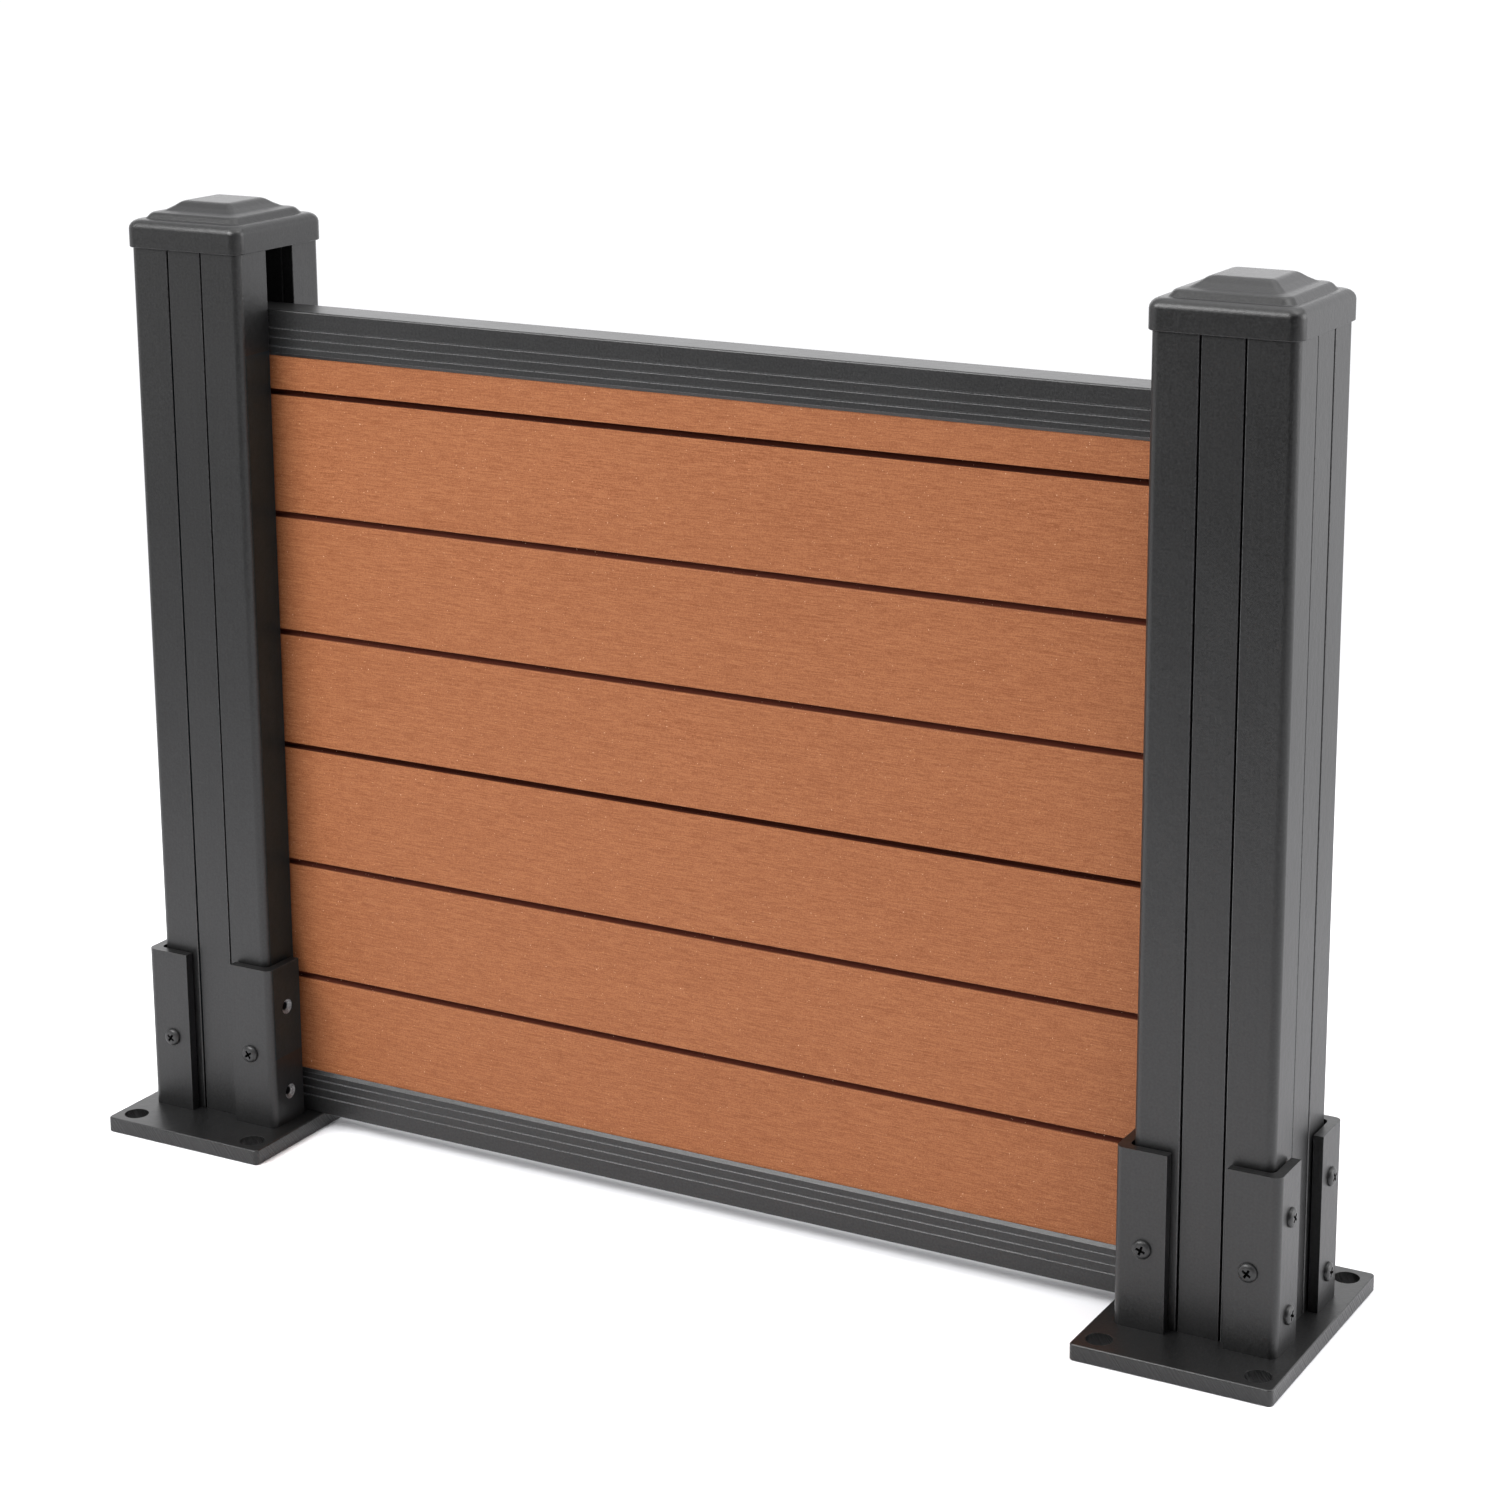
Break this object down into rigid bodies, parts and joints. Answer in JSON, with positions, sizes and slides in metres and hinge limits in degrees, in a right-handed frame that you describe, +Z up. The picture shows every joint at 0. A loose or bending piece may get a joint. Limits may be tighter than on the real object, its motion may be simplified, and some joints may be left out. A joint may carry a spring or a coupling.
{
  "type": "composite railing",
  "caption": "Low railing bay: tongue-and-groove composite boards between ribbed aluminium rails, held in slotted square posts with caps on bolt-down base plates.",
  "frame": {"origin": "on the ground under the middle of the bay, midway between the two posts", "axes": "+X along the panel from the left post to the right one, +Y from the front to the back, +Z up"},
  "size_m": [0.674, 0.14, 0.506],
  "materials": {
    "post_coat": "fine satin black powder coat",
    "cap_coat": "fine satin black powder coat",
    "strip_coat": "fine satin black powder coat",
    "plate_coat": "fine satin black powder coat",
    "angle_coat": "fine satin black powder coat",
    "rail_coat": "fine satin black powder coat",
    "board_composite": "brushed wood-plastic composite"
  },
  "bodies": {
    "root": {"left_post": "post_coat", "left_post_cap": "cap_coat", "left_base_plate": "plate_coat", "left_front_cover_strip": "strip_coat", "left_back_cover_strip": "strip_coat", "left_outer_cover_strip": "strip_coat", "left_front_outer_angle": "angle_coat", "left_front_inner_angle": "angle_coat", "left_back_outer_angle": "angle_coat", "left_back_inner_angle": "angle_coat", "right_post": "post_coat", "right_post_cap": "cap_coat", "right_base_plate": "plate_coat", "right_front_cover_strip": "strip_coat", "right_back_cover_strip": "strip_coat", "right_outer_cover_strip": "strip_coat", "right_front_outer_angle": "angle_coat", "right_front_inner_angle": "angle_coat", "right_back_outer_angle": "angle_coat", "right_back_inner_angle": "angle_coat", "bottom_rail": "rail_coat", "top_rail": "rail_coat", "bottom_board": "board_composite", "middle_board": "board_composite", "top_board": "board_composite"}
  },
  "joints": []
}
